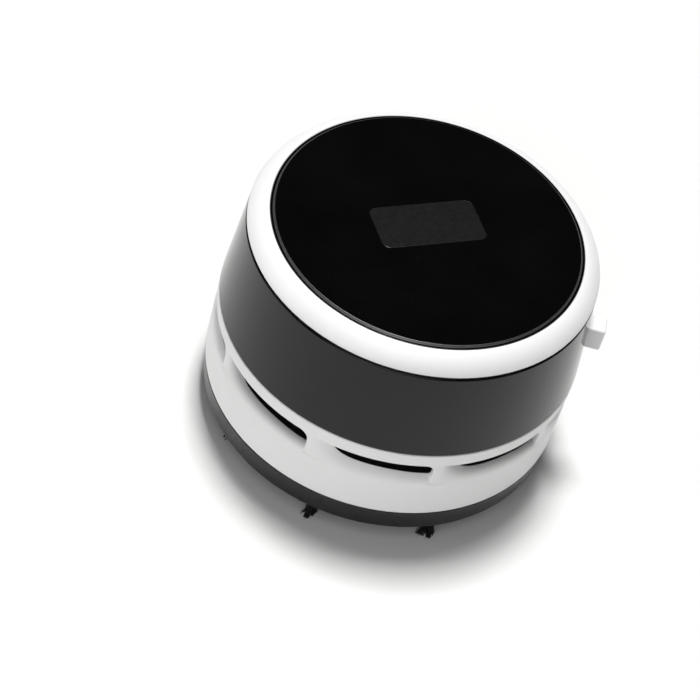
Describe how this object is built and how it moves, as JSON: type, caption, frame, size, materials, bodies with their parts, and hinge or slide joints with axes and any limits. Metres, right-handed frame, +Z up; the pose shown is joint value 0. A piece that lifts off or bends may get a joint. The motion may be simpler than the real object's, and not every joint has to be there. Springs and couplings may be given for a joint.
{
  "type": "desktop mini vacuum cleaner",
  "caption": "Round battery desktop vacuum: twist-off dust tray on brush tufts, scooped exhaust band, twist-off battery lid, side slide switch, motor and impeller inside.",
  "frame": {"origin": "on the body's axis, in the plane of the brush-tuft tips that it stands on", "axes": "+Z up along the body and motor axis; the side switch faces midway between +X and +Y"},
  "size_m": [0.0852, 0.0852, 0.0604],
  "materials": {
    "black_gloss_shell": "polished black ABS",
    "white_trim": "satin white ABS",
    "black_lid_panel": "piano black acrylic",
    "label_grey": "satin dark grey film, bare",
    "black_matte": "moulded black ABS",
    "tray_black": "semi-gloss black ABS",
    "seal_rubber": "soft black rubber",
    "bristle": "black nylon bristle",
    "steel": "zinc-plated steel",
    "can_steel": "plated motor can",
    "spring_steel": "nickel-plated",
    "magnet": "ferrite magnet",
    "copper": "enamelled copper wire",
    "brass": "brass",
    "carbon": "carbon brush and leaf",
    "impeller_white": "natural white nylon",
    "filter_frame": "moulded grey plastic",
    "filter_cloth": "non-woven filter cloth",
    "cell_jacket": "printed foil jacket, plain",
    "motor_nylon": "white nylon end cap",
    "switch_black": "black nylon switch case",
    "wire_red": "red PVC insulation",
    "wire_black": "black PVC insulation"
  },
  "bodies": {
    "housing": {"exhaust_band": "white_trim", "body_shell": "black_gloss_shell", "motor_deck": "black_matte", "fan_base": "black_matte", "fan_base_screws": "steel", "shell_screws": "steel", "filter_frame": "filter_frame", "filter_media": "filter_cloth", "motor_can": "can_steel", "motor_screws": "steel", "motor_magnets": "magnet", "bearing_lower": "brass", "bearing_upper": "brass", "motor_end_cap": "motor_nylon", "motor_terminals": "brass", "motor_brushes": "carbon", "aa_cells": "cell_jacket", "battery_cradles": "black_matte", "contact_holders": "black_matte", "contact_positive": "spring_steel", "contact_negative": "spring_steel", "contact_bridge": "spring_steel", "battery_springs": "spring_steel", "switch_body": "switch_black", "switch_terminals": "brass", "switch_screws": "steel", "lead_battery_switch": "wire_red", "lead_switch_motor": "wire_red", "lead_battery_motor": "wire_black"},
    "switch": {"switch_knob": "white_trim", "switch_slider": "switch_black"},
    "rotor": {"motor_shaft": "steel", "armature_core": "can_steel", "armature_windings": "copper", "commutator": "copper", "impeller": "impeller_white"},
    "tray_collar": {"tray_seal": "seal_rubber"},
    "tray": {"dust_tray": "tray_black", "brush_tufts": "bristle"},
    "lid_collar": {"lid_gasket": "seal_rubber"},
    "lid": {"lid_frame": "black_matte", "lid_ring": "white_trim", "lid_disc": "black_lid_panel", "label_plate": "label_grey"}
  },
  "joints": [
    {"name": "switch_slide", "type": "slide", "parent": "housing", "child": "switch", "axis": [0, 0, 1], "range_m": [0, 0.0035]},
    {"name": "rotor_spin", "type": "hinge", "parent": "housing", "child": "rotor", "pos_m": [0, 0, 0.03], "axis": [0, 0, -1], "continuous": true},
    {"name": "tray_drop", "type": "slide", "parent": "housing", "child": "tray_collar", "axis": [0, 0, -1], "range_m": [0, 0.03]},
    {"name": "tray_twist", "type": "hinge", "parent": "tray_collar", "child": "tray", "pos_m": [0, 0, 0.011], "axis": [0, 0, 1], "range_deg": [0, 24]},
    {"name": "lid_lift", "type": "slide", "parent": "housing", "child": "lid_collar", "axis": [0, 0, 1], "range_m": [0, 0.03]},
    {"name": "lid_twist", "type": "hinge", "parent": "lid_collar", "child": "lid", "pos_m": [0, 0, 0.0555], "axis": [0, 0, -1], "range_deg": [0, 24]}
  ]
}
